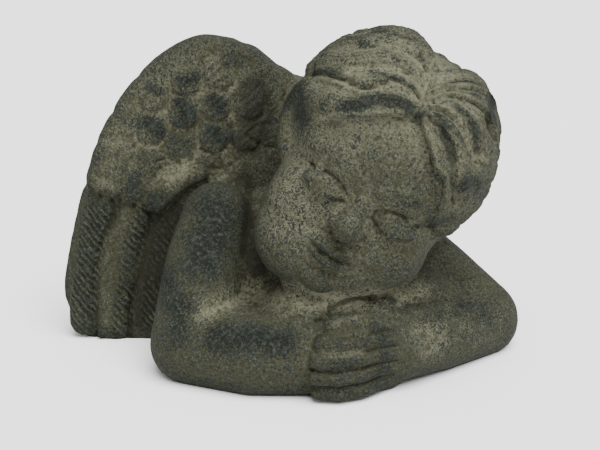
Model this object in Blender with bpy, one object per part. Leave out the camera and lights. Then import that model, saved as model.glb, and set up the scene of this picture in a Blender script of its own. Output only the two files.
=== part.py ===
"""Sleeping cherub, a garden ornament cast in stone in one piece.

The cherub lies on folded arms with the head leaning to its left, and two folded wings stand at
its back. Clay is laid up as balls, limbs, locks and feathers, fused to one skin, worn smooth,
carved, and cut off flat where it stands. The front faces -Y and +Z is up.
"""

import math

import bmesh
import bpy
import numpy as np
from mathutils import Euler, Matrix, Vector
from mathutils.bvhtree import BVHTree

# Every length below is in centimetres; the finished figure is brought to metres at the end.
CENTIMETRE = 0.01

# The skin: how finely the clay is fused, worn and faceted.
MASS_GRAIN = 0.34
MASS_WEAR = 8
SKIN_GRAIN = 0.2
SKIN_WEAR = 1
FACETS = 9000
SHARPEST_FOLD = math.radians(110.0)

STONE_COLOUR = (0.19, 0.19, 0.15, 1.0)
STONE_ROUGHNESS = 0.92

# Body and arms.
BODY_MIDDLE = 2.5
BODY_HEIGHT = 13.8
ELBOW_SPAN = 22.3
SHOULDER_HEIGHT = 11.3
ARM_RADIUS = 2.95
FOREARM_RADIUS = 2.9
ELBOW_RADIUS = 3.4
FINGER_RADIUS = 0.74
FINGER_PITCH = 1.17

# Head: place of its middle, and how far it nods, leans and turns, in degrees.
HEAD_PLACE = (6.0, -1.1, 15.8)
HEAD_NOD = 4.0
HEAD_LEAN = 29.0
HEAD_TURN = -34.0
SCALP_MIDDLE = (-0.2, 0.3, 1.5)
SCALP_RADIUS = 6.95
LOCK_RADIUS = 1.15
CURL_RADIUS = 1.1

# Wings: outermost rim and top from the root, root out and back from the middle, and sweep back.
WING_WIDTH = 16.8
WING_HEIGHT = 24.4
WING_FACE = -0.5
WING_BACK = 1.0
COVERT_FACE = -1.1
WING_ROOT_OUT = 2.0
WING_ROOT_BACK = 6.0
WING_SWEEP = 27.0
LEFT_WING_RISE = 0.97
SCALE_RADIUS = 1.4
SCALE_PITCH = 2.5


class Clay:
    """Lumps of clay, each a closed shell, kept together until they are fused."""

    def __init__(self, mesh=None):
        self.verts = []
        self.faces = []
        self.count = 0
        if mesh:
            points = np.empty(len(mesh.vertices) * 3)
            mesh.vertices.foreach_get("co", points)
            self.add(points.reshape(-1, 3), [tuple(face.vertices) for face in mesh.polygons])

    def add(self, points, faces):
        self.verts.append(points)
        self.faces.extend(tuple(self.count + i for i in face) for face in faces)
        self.count += len(points)

    def add_shape(self, shape, matrix):
        points, faces = shape
        matrix = np.array(matrix)
        self.add(points @ matrix[:3, :3].T + matrix[:3, 3], faces)

    def object(self, name):
        mesh = bpy.data.meshes.new(name)
        mesh.from_pydata(np.concatenate(self.verts).tolist(), [], self.faces)
        obj = bpy.data.objects.new(name, mesh)
        bpy.context.scene.collection.objects.link(obj)
        return obj


def shape_of(shell):
    """The points and faces of a bmesh, which is then let go."""
    points = np.array([tuple(vert.co) for vert in shell.verts])
    faces = [tuple(vert.index for vert in face.verts) for face in shell.faces]
    shell.free()
    return points, faces


def unit_ball():
    shell = bmesh.new()
    bmesh.ops.create_icosphere(shell, subdivisions=3, radius=1.0)
    shell.verts.index_update()
    return shape_of(shell)


def unit_drum():
    """A drum from -1 to 1, of radius 1."""
    shell = bmesh.new()
    bmesh.ops.create_cone(shell, cap_ends=True, segments=20, radius1=1.0, radius2=1.0, depth=2.0)
    shell.verts.index_update()
    return shape_of(shell)


BALL = unit_ball()
DRUM = unit_drum()


def add_ball(clay, centre, radii, turn=(0.0, 0.0, 0.0), within=Matrix.Identity(4)):
    """A ball or an egg, turned by degrees about X, Y and Z."""
    if isinstance(radii, (int, float)):
        radii = (radii, radii, radii)
    angles = Euler([math.radians(angle) for angle in turn])
    clay.add_shape(BALL, within @ Matrix.LocRotScale(Vector(centre), angles, Vector(radii)))


def add_limb(clay, joints, within=Matrix.Identity(4)):
    """A limb through joints, each (x, y, z, radius): balls with cones between them."""
    for x, y, z, radius in joints:
        add_ball(clay, (x, y, z), radius, within=within)
    points, faces = DRUM
    for start, end in zip(joints, joints[1:]):
        a, b = Vector(start[:3]), Vector(end[:3])
        along = b - a
        radius = np.where(points[:, 2] < 0, start[3], end[3])
        cone = points * np.column_stack((radius, radius, np.full(len(points), along.length / 2)))
        turn = along.to_track_quat("Z", "Y").to_matrix().to_4x4()
        clay.add_shape((cone, faces), within @ Matrix.Translation((a + b) / 2) @ turn)


def add_plate(clay, outline, front, back, within):
    """A plate of clay between two depths, with this outline of (across, up)."""
    count = len(outline)
    points = np.array([(x, front, z) for x, z in outline] + [(x, back, z) for x, z in outline])
    faces = [tuple(range(count)), tuple(range(count, 2 * count))]
    faces += [(i, (i + 1) % count, count + (i + 1) % count, count + i) for i in range(count)]
    clay.add_shape((points, faces), within)


def smooth_path(points, count):
    """Points along a smooth curve through these points, each a tuple of any length."""
    last = len(points) - 1
    path = []
    for step in range(count + 1):
        place = step / count * last
        i = min(int(place), last - 1)
        t = place - i
        a, b, c, d = (np.array(points[max(0, min(last, i + k))], float) for k in (-1, 0, 1, 2))
        spot = 2 * b + (c - a) * t
        spot = spot + (2 * a - 5 * b + 4 * c - d) * t**2 + (3 * b - a - 3 * c + d) * t**3
        path.append(tuple(float(value) for value in spot / 2))
    return path


def settle(obj):
    """Applies an object's modifiers, by swapping its mesh for the evaluated one."""
    graph = bpy.context.evaluated_depsgraph_get()
    mesh = bpy.data.meshes.new_from_object(obj.evaluated_get(graph))
    obj.modifiers.clear()
    obj.data = mesh


def fuse(obj, grain, wear):
    """Makes one skin of all the clay in an object, and wears it smooth."""
    remesh = obj.modifiers.new("Fuse", "REMESH")
    remesh.mode = "VOXEL"
    remesh.voxel_size = grain
    smooth = obj.modifiers.new("Wear", "SMOOTH")
    smooth.factor = 0.5
    smooth.iterations = round(wear)
    settle(obj)


def skin_of(obj):
    """The skin of an object as it stands, to draw lines on."""
    points = [vert.co for vert in obj.data.vertices]
    return BVHTree.FromPolygons(points, [face.vertices for face in obj.data.polygons])


def draw_on(skin, points, ways, away):
    """Points moved on to a skin, each from a little away and not far in its own direction."""
    drawn = []
    for point, way in zip(points, ways):
        way = Vector(way).normalized()
        place = skin.ray_cast(Vector(point) - away * way, way, away + 2.2)[0]
        if place is not None:
            drawn.append(tuple(place))
    return drawn


def carve(obj, line, width, depth):
    """Presses a groove of this width and depth into the skin along a line."""
    if len(line) < 2:
        return
    mesh = obj.data
    points = np.empty(len(mesh.vertices) * 3)
    mesh.vertices.foreach_get("co", points)
    points = points.reshape(-1, 3)
    line = np.array(line)
    reach = 2.2 * width
    near = np.all((points > line.min(axis=0) - reach) & (points < line.max(axis=0) + reach), axis=1)
    near = np.nonzero(near)[0]
    away = np.full(len(near), np.inf)
    for a, b in zip(line, line[1:]):
        along = b - a
        share = np.clip((points[near] - a) @ along / max(along @ along, 1e-9), 0, 1)
        away = np.minimum(away, np.linalg.norm(points[near] - a - share[:, None] * along, axis=1))
    normals = np.empty(len(mesh.vertices) * 3)
    mesh.vertex_normals.foreach_get("vector", normals)
    push = depth * np.exp(-((away / width) ** 2) * 1.4)
    points[near] -= normals.reshape(-1, 3)[near] * push[:, None]
    mesh.vertices.foreach_set("co", points.ravel())
    mesh.update()


def elbows():
    """Middles of the right and the left elbow."""
    right = (BODY_MIDDLE + 1.3 - ELBOW_SPAN / 2, 2.95, 2.4)
    left = (BODY_MIDDLE + 1.3 + ELBOW_SPAN / 2, -1.4, 2.2)
    return right, left


def add_body(clay):
    """Torso, neck and the mass between the arms."""
    middle = BODY_MIDDLE + 0.3
    add_ball(clay, (middle, 5.4, BODY_HEIGHT - 7.8), (7.6, 4.4, 7.8))
    add_ball(clay, (middle, 3.6, 2.4), (9.8, 6.0, 4.6))
    add_ball(clay, (BODY_MIDDLE + 1.9, -0.7, 3.0), (8.8, 5.0, 5.7))
    add_limb(clay, [(2.6, 4.6, BODY_HEIGHT - 4.8, 4.4), (4.6, 1.8, 12.4, 4.2)])


def add_arms(clay):
    """Both arms, folded in front with the right one under the left."""
    right, left = elbows()
    shoulder = (BODY_MIDDLE - 7.0, 5.3, SHOULDER_HEIGHT, ARM_RADIUS - 0.35)
    add_limb(clay, [shoulder, (BODY_MIDDLE - 8.2, 4.9, 8.0, ARM_RADIUS), right + (ELBOW_RADIUS,)])
    wrist = (0.2, -3.3, 2.4, FOREARM_RADIUS)
    add_limb(clay, [right + (ELBOW_RADIUS,), (-3.8, -0.8, 2.3, FOREARM_RADIUS + 0.4), wrist])
    shoulder = (BODY_MIDDLE + 6.5, 4.0, SHOULDER_HEIGHT - 2.7, ARM_RADIUS)
    add_limb(clay, [shoulder, (12.4, 1.4, 5.3, ARM_RADIUS), left + (ARM_RADIUS + 0.15,)])
    wrist = (5.4, -4.4, 2.8, FOREARM_RADIUS - 0.1)
    add_limb(clay, [left + (ARM_RADIUS + 0.15,), (9.6, -3.2, 2.4, FOREARM_RADIUS), wrist])


def digits():
    """Thumb and fingers from the top down: reach of the tip, height, depth and radius."""
    lowest = 0.86
    reaches = (0.1, -0.9, -1.3, -1.4, -1.1)
    depths = (-5.15, -5.95, -6.3, -6.4, -6.3)
    for number, (reach, depth) in enumerate(zip(reaches, depths)):
        radius = FINGER_RADIUS - (0.08 if number == 0 else 0.0)
        yield reach, lowest + FINGER_PITCH * (4 - number), depth, radius


def add_hand(clay):
    """The left hand, laid over the right forearm, with its thumb and fingers side by side."""
    add_ball(clay, (4.3, -4.8, 3.2), (3.1, 2.2, 3.7))
    add_ball(clay, (1.7, -4.7, 5.0), (1.9, 1.1, 0.9))
    for reach, height, depth, radius in digits():
        tip = (reach + 0.2, depth + 0.75, height, radius * 0.9)
        joint = (reach + 1.4, depth + 0.1, height, radius)
        knuckle = (reach + 3.1, depth - 0.05, height, radius)
        sunk = 0.75 if height < 2 * FINGER_PITCH else 0.35
        add_limb(clay, [tip, joint, knuckle, (4.6, depth + sunk, height * 0.95 + 0.1, radius)])


def head_frame():
    """The head's own frame: +X its left, -Y the way it faces, +Z its crown."""
    angles = Euler([math.radians(a) for a in (HEAD_NOD, HEAD_LEAN, HEAD_TURN)])
    return Matrix.LocRotScale(Vector(HEAD_PLACE), angles, None)


def on_scalp(bearing, height, lift=0.0):
    """A point on the scalp, by degrees round from the face and up from the middle."""
    bearing, height = math.radians(bearing), math.radians(height)
    reach = SCALP_RADIUS + lift
    return (
        SCALP_MIDDLE[0] + reach * math.sin(bearing) * math.cos(height),
        SCALP_MIDDLE[1] - reach * math.cos(bearing) * math.cos(height),
        SCALP_MIDDLE[2] + reach * math.sin(height),
    )


def add_head(clay):
    """Skull, face and fat cheeks, without the features."""
    head = head_frame()
    x, y, z = SCALP_MIDDLE
    add_ball(clay, SCALP_MIDDLE, SCALP_RADIUS, within=head)
    for side in (-1, 1):
        add_ball(clay, (x + 0.85 * side, y + 0.5, z + 0.1), SCALP_RADIUS + 0.05, within=head)
    add_ball(clay, (0, -2.2, 0.7), (5.9, 4.7, 4.7), within=head)
    add_ball(clay, (0, -1.4, -3.6), (6.4, 5.2, 5.6), within=head)
    add_ball(clay, (0, -3.7, -6.2), (4.9, 3.2, 3.1), within=head)
    for side in (-1, 1):
        add_ball(clay, (3.2 * side, -3.5, -4.1), 3.1, within=head)
    add_ball(clay, (0.2, -0.4, 11.0), 3.8)
    add_ball(clay, (2.2, -1.6, 9.8), 3.4)


def add_features(clay):
    """Brow, closed lids, button nose, lips and chin."""
    head = head_frame()
    add_limb(clay, [(0, -6.1, -0.6, 0.8), (0, -6.5, -2.0, 0.8), (0, -7.1, -2.9, 0.95)], within=head)
    add_ball(clay, (0, -6.1, -5.2), (2.3, 1.0, 1.5), within=head)
    add_ball(clay, (0, -6.1, -7.5), (1.6, 1.1, 1.2), within=head)
    for side in (-1, 1):
        add_ball(clay, (0.8 * side, -6.6, -3.1), (0.66, 0.7, 0.56), within=head)
        add_ball(clay, (2.8 * side, -5.6, -1.4), (1.7, 1.05, 1.1), (0, 6 * side, 0), within=head)
        upper = [(0.1, -7.0, -4.85, 0.42), (0.8, -6.9, -4.85, 0.42), (1.6, -6.3, -5.15, 0.3)]
        lower = [(0.1, -6.85, -5.75, 0.48), (0.7, -6.7, -5.7, 0.46), (1.3, -6.3, -5.45, 0.3)]
        brow = [(1.2, -6.2, 0.2, 0.5), (2.8, -5.8, 0.8, 0.55), (4.5, -4.6, 0.2, 0.45)]
        for ridge in (upper, lower, brow):
            add_limb(clay, [(side * x, y, z, radius) for x, y, z, radius in ridge], within=head)


def carve_face(angel, skin, line, width, depth):
    """A groove along a line of (across, up) on the face, seen from straight ahead of it."""
    head = head_frame()
    points = [head @ Vector((x, -6.0, z)) for x, z in smooth_path(line, 12)]
    ahead = head.to_3x3() @ Vector((0, 1, 0))
    carve(angel, draw_on(skin, points, [ahead] * len(points), 4.0), width, depth)


def carve_features(angel, skin):
    """Lid lines, lid creases, the line of the mouth and the groove above it."""
    mouth = [(-1.7, -5.15), (-0.8, -5.35), (0, -5.25), (0.8, -5.35), (1.7, -5.15)]
    carve_face(angel, skin, mouth, 0.24, 0.3)
    carve_face(angel, skin, [(0, -3.9), (0, -4.5)], 0.3, 0.12)
    lid = ((1.2, -1.6), (2.0, -2.1), (3.1, -2.2), (4.3, -1.6))
    crease = ((1.2, -1.0), (2.0, -0.5), (3.2, -0.4), (4.4, -1.0))
    nostril = ((1.5, -3.0), (1.6, -3.5), (1.3, -3.9))
    for side in (-1, 1):
        for line, width, depth in ((lid, 0.2, 0.2), (crease, 0.24, 0.2), (nostril, 0.22, 0.15)):
            carve_face(angel, skin, [(side * x, z) for x, z in line], width, depth)


# Locks swept from the parting to the right, each a course of (bearing, height) with its lift.
RIGHT_LOCKS = [
    ([(5, 41), (-5, 41), (-15, 38), (-23, 32), (-32, 24), (-47, 17), (-66, 10)], 0.0),
    ([(3, 48), (-10, 51), (-23, 48), (-33, 42), (-42, 34), (-52, 28), (-70, 22)], 0.1),
    ([(2, 55), (-13, 60), (-33, 59), (-46, 52), (-55, 42), (-64, 34), (-80, 24)], 0.25),
    ([(-1, 62), (-23, 70), (-58, 70), (-70, 60), (-77, 50), (-84, 40), (-94, 28), (-96, 14)], 0.35),
    ([(-2, 70), (-53, 79), (-124, 68), (-116, 57), (-106, 45), (-104, 32), (-106, 16)], 0.4),
]
LEFT_LOCKS = [
    ([(5, 68), (34, 74), (80, 73), (110, 63), (116, 50), (112, 36)], 0.25),
    ([(8, 60), (18, 63), (48, 67), (84, 62), (98, 50), (98, 38)], 0.25),
    ([(10, 53), (18, 57), (32, 60), (54, 59), (76, 52), (86, 42), (85, 30)], 0.15),
    ([(10, 48), (20, 51), (32, 51), (46, 46), (60, 39), (70, 28), (72, 16)], 0.1),
    ([(10, 43), (20, 42), (29, 39), (37, 33), (44, 25), (50, 14)], 0.1),
    ([(9, 39), (17, 34), (25, 27), (31, 19), (36, 10), (42, 0), (48, -12)], 0.0),
]
TEMPLE_LOCKS = [
    ([(-70, 14), (-82, 5), (-85, -8), (-80, -20), (-70, -28)], 0.15),
    ([(-84, 20), (-98, 8), (-102, -8), (-98, -24), (-92, -36)], 0.1),
]
CURLS = [(62, 30), (56, 12), (68, 0), (60, -12), (74, 14), (82, 2), (82, 24), (72, -24), (84, -20)]

# Grooves between the locks, from the parting outwards.
PARTINGS = [
    [(4, 36), (5, 46), (4, 55), (0, 66), (-6, 78)],
    [(2, 47), (-7, 49), (-20, 48), (-27, 41), (-32, 34), (-41, 30), (-49, 28), (-65, 21), (-86, 10)],
    [(3, 50), (-7, 53), (-24, 54), (-35, 50), (-44, 42), (-51, 36)],
    [(4, 55), (-2, 61), (-18, 66), (-39, 66), (-50, 58), (-61, 48), (-70, 37), (-84, 20)],
    [(1, 63), (-21, 73), (-67, 75), (-100, 64), (-94, 53), (-88, 43), (-90, 30)],
    [(7, 62), (21, 67), (56, 70), (98, 62), (108, 48)],
    [(9, 55), (15, 58), (31, 62), (58, 63), (88, 57), (96, 42)],
    [(11, 50), (18, 55), (31, 57), (48, 56), (68, 50), (80, 36)],
    [(10, 46), (18, 47), (26, 46), (35, 41), (43, 33), (56, 24)],
    [(9, 42), (18, 38), (27, 34), (33, 29), (37, 22), (42, 12)],
]


def add_lock(clay, course, lift, root, full):
    """A lock of hair over the scalp, thin at its root and rounded at its end."""
    joints = []
    steps = 10
    for step, (bearing, height) in enumerate(smooth_path(course, steps)):
        share = min(1.0, 2.2 * step / steps)
        radius = root + (full - root) * share**0.8
        joints.append(on_scalp(bearing, height, lift * (0.3 + 0.7 * share)) + (radius,))
    add_limb(clay, joints, within=head_frame())


def add_hair(clay):
    """Locks swept to both sides, curls at the left temple and rows of curls behind."""
    for course, lift in RIGHT_LOCKS:
        add_lock(clay, course, lift, 0.45, LOCK_RADIUS)
    for course, lift in LEFT_LOCKS:
        add_lock(clay, course, lift, 0.4, LOCK_RADIUS - 0.2)
    for course, lift in TEMPLE_LOCKS:
        add_lock(clay, course, lift, 0.9, LOCK_RADIUS)
    for bearing, height in CURLS:
        course = [(bearing - 6, height + 7), (bearing + 6, height + 4), (bearing + 3, height - 7)]
        add_lock(clay, course, -0.05, 0.9, CURL_RADIUS)
    for row in range(4):
        for place in range(7):
            bearing = 112 + 22 * place + 11 * (row % 2)
            height = 48 - 24 * row
            course = [(bearing, height + 13), (bearing + 9, height + 4), (bearing + 2, height - 10)]
            add_lock(clay, course, -0.5 if row == 0 else -0.1, 0.9, CURL_RADIUS)


def carve_locks(angel, skin):
    """The grooves between the locks."""
    head = head_frame()
    middle = head @ Vector(SCALP_MIDDLE)
    for course in PARTINGS:
        points = [head @ Vector(on_scalp(*place)) for place in smooth_path(course, 14)]
        ways = [middle - point for point in points]
        carve(angel, draw_on(skin, points, ways, 4.0), 0.28, 0.32)


def wing_frame(side):
    """A wing's own frame: +X out from the root, -Y the way its face looks, +Z up."""
    sweep = math.radians(WING_SWEEP)
    across = Vector((side * math.cos(sweep), math.sin(sweep), 0.0))
    back = Vector((-side * math.sin(sweep), math.cos(sweep), 0.0))
    frame = Matrix.Identity(4)
    frame.col[0][:3] = across
    frame.col[1][:3] = back
    frame.col[2][:3] = (0.0, 0.0, 1.0 if side < 0 else LEFT_WING_RISE)
    frame.translation = (BODY_MIDDLE + side * WING_ROOT_OUT, WING_ROOT_BACK, 0.0)
    return frame


def wing_top():
    """The upper rim of a wing, from the root out, as (across, up)."""
    inner = [(-2.4, 3.3), (-1.0, 2.5), (0.3, 1.7), (1.5, 0.75), (3.4, 0.15)]
    rim = inner + [(5.8, 0.0), (8.6, 1.5), (11.4, 4.4), (13.8, 8.6)]
    return [(across, WING_HEIGHT - drop) for across, drop in rim]


def covert_rim():
    """The lower edge of the thick part that carries the coverts."""
    return [(14.1, 12.9), (13.0, 12.0), (11.4, 12.0), (8.7, 12.6), (5.2, 13.6), (-1.2, 13.0)]


def add_wing_mass(clay, side):
    """One wing's plate, with the thicker part that carries the coverts."""
    frame = wing_frame(side)
    rim = WING_WIDTH
    outer = [(rim - 1.3, 10.6), (rim, 5.4), (rim - 0.1, 2.6), (rim - 2.0, -0.4), (10.1, -0.4)]
    inner = [(5.0, 0.0), (1.0, 4.0), (-1.2, 12.0)]
    for outline, face, back in (
        (wing_top() + outer + inner, WING_FACE, WING_BACK),
        (wing_top() + covert_rim(), COVERT_FACE, -COVERT_FACE),
    ):
        add_plate(clay, smooth_path(outline + outline[:1], 60)[:-1], face, back, frame)


def scale_places():
    """Middles of the scales on a wing's upper part, one below another."""
    places = []
    for row in range(4):
        for place in range(5):
            across = 1.5 + SCALE_PITCH * place + 0.25 * row
            up = WING_HEIGHT - 2.3 - 0.95 * SCALE_PITCH * row - 0.045 * (across - 2.5) ** 2
            if (row or place) and across < 9.5 + 0.9 * row and up > 15.4:
                places.append((across, up))
    return places


def flight_feathers():
    """Flight feathers from the outermost in: course down the middle, depth and width."""
    rim = WING_WIDTH
    return [
        ([(rim - 3.4, 11.6), (rim - 2.6, 8.6), (rim - 1.8, 5.4), (rim - 1.5, 1.4)], -0.45, 1.35),
        ([(rim - 6.2, 11.6), (rim - 5.1, 8.4), (rim - 4.4, 5.6), (rim - 3.8, 0.8)], -0.3, 1.5),
        ([(rim - 8.6, 11.6), (rim - 7.8, 8.4), (rim - 7.0, 5.6), (rim - 6.2, 0.8)], 0.1, 1.2),
    ]


# Coverts below the scales, from the outermost in: course down the middle and width.
COVERTS = [
    ([(12.9, 15.6), (13.3, 14.2), (13.6, 12.9)], 0.8),
    ([(11.4, 15.6), (12.0, 14.0), (12.4, 12.7)], 0.9),
    ([(9.4, 15.4), (10.1, 13.8), (10.7, 12.5)], 1.05),
    ([(5.7, 14.7), (7.3, 13.5), (9.0, 11.9)], 1.2),
]

# Flattening of the limbs that feathers are laid up from, through the thickness of a wing.
FEATHER_FLAT = 0.42


def add_feathers(clay, side):
    """One wing's feathers: scales above, coverts below them, then the flight feathers."""
    frame = wing_frame(side)
    flat = frame @ Matrix.Diagonal((1.0, FEATHER_FLAT, 1.0, 1.0))
    for across, up in scale_places():
        radii = (SCALE_RADIUS, 0.34, SCALE_RADIUS + 0.2)
        add_ball(clay, (across, COVERT_FACE + 0.12, up), radii, (-9, 0, 0), within=frame)
    for course, width in COVERTS:
        depth = COVERT_FACE / FEATHER_FLAT
        add_limb(clay, [(x, depth, z, width) for x, z in smooth_path(course, 4)], within=flat)
    for course, face, width in flight_feathers():
        for depth in (face, -COVERT_FACE):
            joints = []
            for step, (x, z) in enumerate(smooth_path(course, 5)):
                joints.append((x, depth / FEATHER_FLAT, z, width * (1 - 0.02 * step)))
            add_limb(clay, joints, within=flat)
    for row in range(3):
        for place in range(4):
            across = 3.4 + 2.9 * place + 1.4 * (row % 2)
            up = WING_HEIGHT - 4.0 - 2.9 * row - 0.035 * (across - 6.5) ** 2
            if across < 9.6 + 0.9 * row and up > 14.4:
                add_ball(clay, (across, -COVERT_FACE, up), (1.4, 0.4, 1.6), (8, 0, 0), within=frame)


def carve_wing(angel, skin, side, line, width, depth, behind=False):
    """A groove along a line of (across, up) on a wing's face, or on its back."""
    frame = wing_frame(side)
    way = frame.to_3x3() @ Vector((0, -1 if behind else 1, 0))
    points = [frame @ Vector((x, 2.0 if behind else -2.0, z)) for x, z in smooth_path(line, 10)]
    carve(angel, draw_on(skin, points, [way] * len(points), 0.8), width, depth)


def carve_feathers(angel, skin, side):
    """Rims of the scales and coverts, and the grooves between the flight feathers."""
    for across, up in scale_places():
        rim = [(-1.25, 0.2), (-1.1, -0.8), (0.0, -1.6), (1.1, -0.8), (1.25, 0.2)]
        if across > SCALE_PITCH:
            carve_wing(angel, skin, side, [(across + x, up + z) for x, z in rim], 0.26, 0.15)
    rim = [(14.2, 12.9), (13.4, 12.0), (12.9, 12.6), (12.3, 11.6), (11.5, 12.4), (10.8, 11.3)]
    carve_wing(angel, skin, side, rim, 0.3, 0.25)
    rim = [(9.8, 12.4), (10.0, 11.2), (9.0, 10.6), (7.6, 11.8), (6.0, 13.1)]
    carve_wing(angel, skin, side, rim, 0.3, 0.25)
    grooves = [
        [(-4.8, 11.6), (-4.2, 10.0), (-3.4, 8.3), (-2.8, 6.0), (-2.4, 2.6), (-2.4, 0.3)],
        [(-7.6, 11.0), (-6.7, 8.0), (-6.1, 5.6), (-5.3, 2.8), (-5.1, 0.4)],
    ]
    for groove in grooves:
        for behind in (False, True):
            line = [(WING_WIDTH + x, z) for x, z in groove]
            carve_wing(angel, skin, side, line, 0.3, 0.28, behind)


def open_folds(mesh):
    """Smooths out the few facets that fold over when the skin is thinned."""
    clay = bmesh.new()
    clay.from_mesh(mesh)
    for _ in range(6):
        folds = [edge for edge in clay.edges if edge.is_manifold and edge.calc_face_angle() > SHARPEST_FOLD]
        verts = list(dict.fromkeys(vert for edge in folds for vert in edge.verts))
        bmesh.ops.smooth_vert(clay, verts=verts, factor=0.5, use_axis_x=True, use_axis_y=True, use_axis_z=True)
    clay.to_mesh(mesh)
    clay.free()


def cut_base(mesh):
    """Cuts the figure off flat where it stands, at a height of 0."""
    clay = bmesh.new()
    clay.from_mesh(mesh)
    for vert in clay.verts:
        if abs(vert.co.z) < 0.05:
            vert.co.z = 0.0
    bmesh.ops.bisect_plane(
        clay,
        geom=clay.verts[:] + clay.edges[:] + clay.faces[:],
        dist=1e-4,
        plane_co=(0, 0, 0),
        plane_no=(0, 0, 1),
        clear_inner=True,
    )
    bmesh.ops.holes_fill(clay, edges=[edge for edge in clay.edges if edge.is_boundary])
    bmesh.ops.triangulate(clay, faces=clay.faces[:])
    clay.to_mesh(mesh)
    clay.free()


def stone():
    material = bpy.data.materials.new("cast_stone")
    material.use_nodes = True
    shader = material.node_tree.nodes["Principled BSDF"]
    shader.inputs["Base Color"].default_value = STONE_COLOUR
    shader.inputs["Roughness"].default_value = STONE_ROUGHNESS
    return material


def build():
    """The whole figure, in metres, with the middle of its underside at the origin."""
    for obj in list(bpy.data.objects):
        bpy.data.objects.remove(obj)
    clay = Clay()
    add_body(clay)
    add_arms(clay)
    add_head(clay)
    for side in (-1, 1):
        add_wing_mass(clay, side)
    masses = clay.object("masses")
    fuse(masses, MASS_GRAIN, MASS_WEAR)

    clay = Clay(masses.data)
    bpy.data.objects.remove(masses)
    add_hand(clay)
    add_features(clay)
    add_hair(clay)
    for side in (-1, 1):
        add_feathers(clay, side)
    angel = clay.object("sleeping_angel")
    fuse(angel, SKIN_GRAIN, SKIN_WEAR)
    skin = skin_of(angel)
    carve_features(angel, skin)
    carve_locks(angel, skin)
    for side in (-1, 1):
        carve_feathers(angel, skin, side)

    worn = angel.modifiers.new("Worn grooves", "SMOOTH")
    worn.factor = 0.5
    worn.iterations = 1
    decimate = angel.modifiers.new("Facets", "DECIMATE")
    decimate.ratio = min(1.0, FACETS / (2 * len(angel.data.polygons)))
    settle(angel)
    open_folds(angel.data)
    cut_base(angel.data)
    low = [min(v.co[i] for v in angel.data.vertices) for i in range(3)]
    high = [max(v.co[i] for v in angel.data.vertices) for i in range(3)]
    middle = Vector(((low[0] + high[0]) / 2, (low[1] + high[1]) / 2, 0.0))
    angel.data.transform(Matrix.Scale(CENTIMETRE, 4) @ Matrix.Translation(-middle))
    angel.data.materials.append(stone())
    return CENTIMETRE, middle


SHARE, MIDDLE = build()
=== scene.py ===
"""Sleeping angel, cast in stone: the fine statue, its worn patina, the floor, the light and the camera.

The statue is laid up in clay as balls, limbs and plates, pressed together, then carved and rubbed.
All lengths are in centimetres until the finished statue is set in its place in metres.
"""

import math

import bpy
import numpy as np
from mathutils import Euler, Matrix, Vector, noise


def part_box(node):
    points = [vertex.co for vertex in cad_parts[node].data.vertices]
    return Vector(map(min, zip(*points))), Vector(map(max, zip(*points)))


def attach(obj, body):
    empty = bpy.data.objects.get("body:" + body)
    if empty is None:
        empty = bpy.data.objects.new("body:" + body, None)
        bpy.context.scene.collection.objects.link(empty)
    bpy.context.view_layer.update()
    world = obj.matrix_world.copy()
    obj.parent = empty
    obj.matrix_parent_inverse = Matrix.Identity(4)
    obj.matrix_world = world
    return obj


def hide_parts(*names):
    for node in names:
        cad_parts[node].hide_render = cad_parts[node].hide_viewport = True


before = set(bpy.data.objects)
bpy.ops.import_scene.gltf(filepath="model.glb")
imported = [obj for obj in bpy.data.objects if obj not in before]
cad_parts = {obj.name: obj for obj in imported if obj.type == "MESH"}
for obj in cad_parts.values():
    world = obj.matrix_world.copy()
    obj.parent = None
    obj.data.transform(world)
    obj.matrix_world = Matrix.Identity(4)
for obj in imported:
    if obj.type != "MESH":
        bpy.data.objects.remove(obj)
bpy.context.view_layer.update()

# Clay: how finely it is pressed together, how often it is rubbed smooth, and how far by each rub.
MASS_CLAY = 0.34
MASS_WEAR = 8
HAIR_CLAY = 0.2
HAIR_WEAR = 3
FINE_CLAY = 0.12
FINE_WEAR = 3
RUB = 0.5

# How often a copy is rubbed to show what stands proud: the fine carving, and the broad forms.
FINE_FORM_WEAR = 12
BROAD_FORM_WEAR = 160

# Carving: how far a stroke reaches beside its line, in widths, and how fast it fades there.
STROKE_REACH = 2.2
STROKE_FADE = 1.4

# Skin: the triangles that it may have, how many steps of fineness, and the way the carved front looks.
FACETS = 195000
FACET_LEVELS = 20
CARVED_FRONT = (-0.39, -0.87, 0.31)

# Unevenness of the worn skin, as sizes with heights, and its small pits, with their least and most widths
# and depths.
UNEVEN = ((3.2, 0.05), (1.1, 0.025), (0.5, 0.016))
PITS = 260
PIT_SEED = 8
PIT_WIDTHS = (0.07, 0.16)
PIT_DEPTHS = (0.03, 0.09)

# Body, from side to side about this middle.
BODY_MIDDLE = 2.5

# Head: place of its middle, its nod, lean and turn in degrees, and the scalp under the hair.
HEAD_PLACE = (6.0, -1.1, 15.8)
HEAD_TURN = (4.0, 29.0, -34.0)
SCALP_MIDDLE = (-0.2, 0.3, 1.5)
SCALP_RADIUS = 6.95

# Wings: root out and back from the middle, sweep in degrees, and the left one's height as a share of the
# right one's. Depths of a wing's face and back, and of the thicker part that carries the coverts.
WING_ROOT = (2.0, 6.0)
WING_SWEEP = 27.0
LEFT_WING_RISE = 0.97
WING_DEPTHS = (-0.5, 1.0)
COVERT_DEPTHS = (-1.1, 1.1)

# Feathers: how flat the long ones are, and the scales' place, steps across and down, and half sizes.
FLATNESS = 0.42
FIRST_SCALE = (1.5, 22.1)
SCALE_STEP = 2.5
SCALE_DROP = 2.375
SCALE_RADII = (1.4, 0.34, 1.6)
BACK_SCALE_RADII = (1.4, 0.4, 1.6)

# Barbs: from one to the next up the wing, and how steeply they slant.
BARB_STEP = 0.76
BARB_SLANT = 1.36

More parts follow.
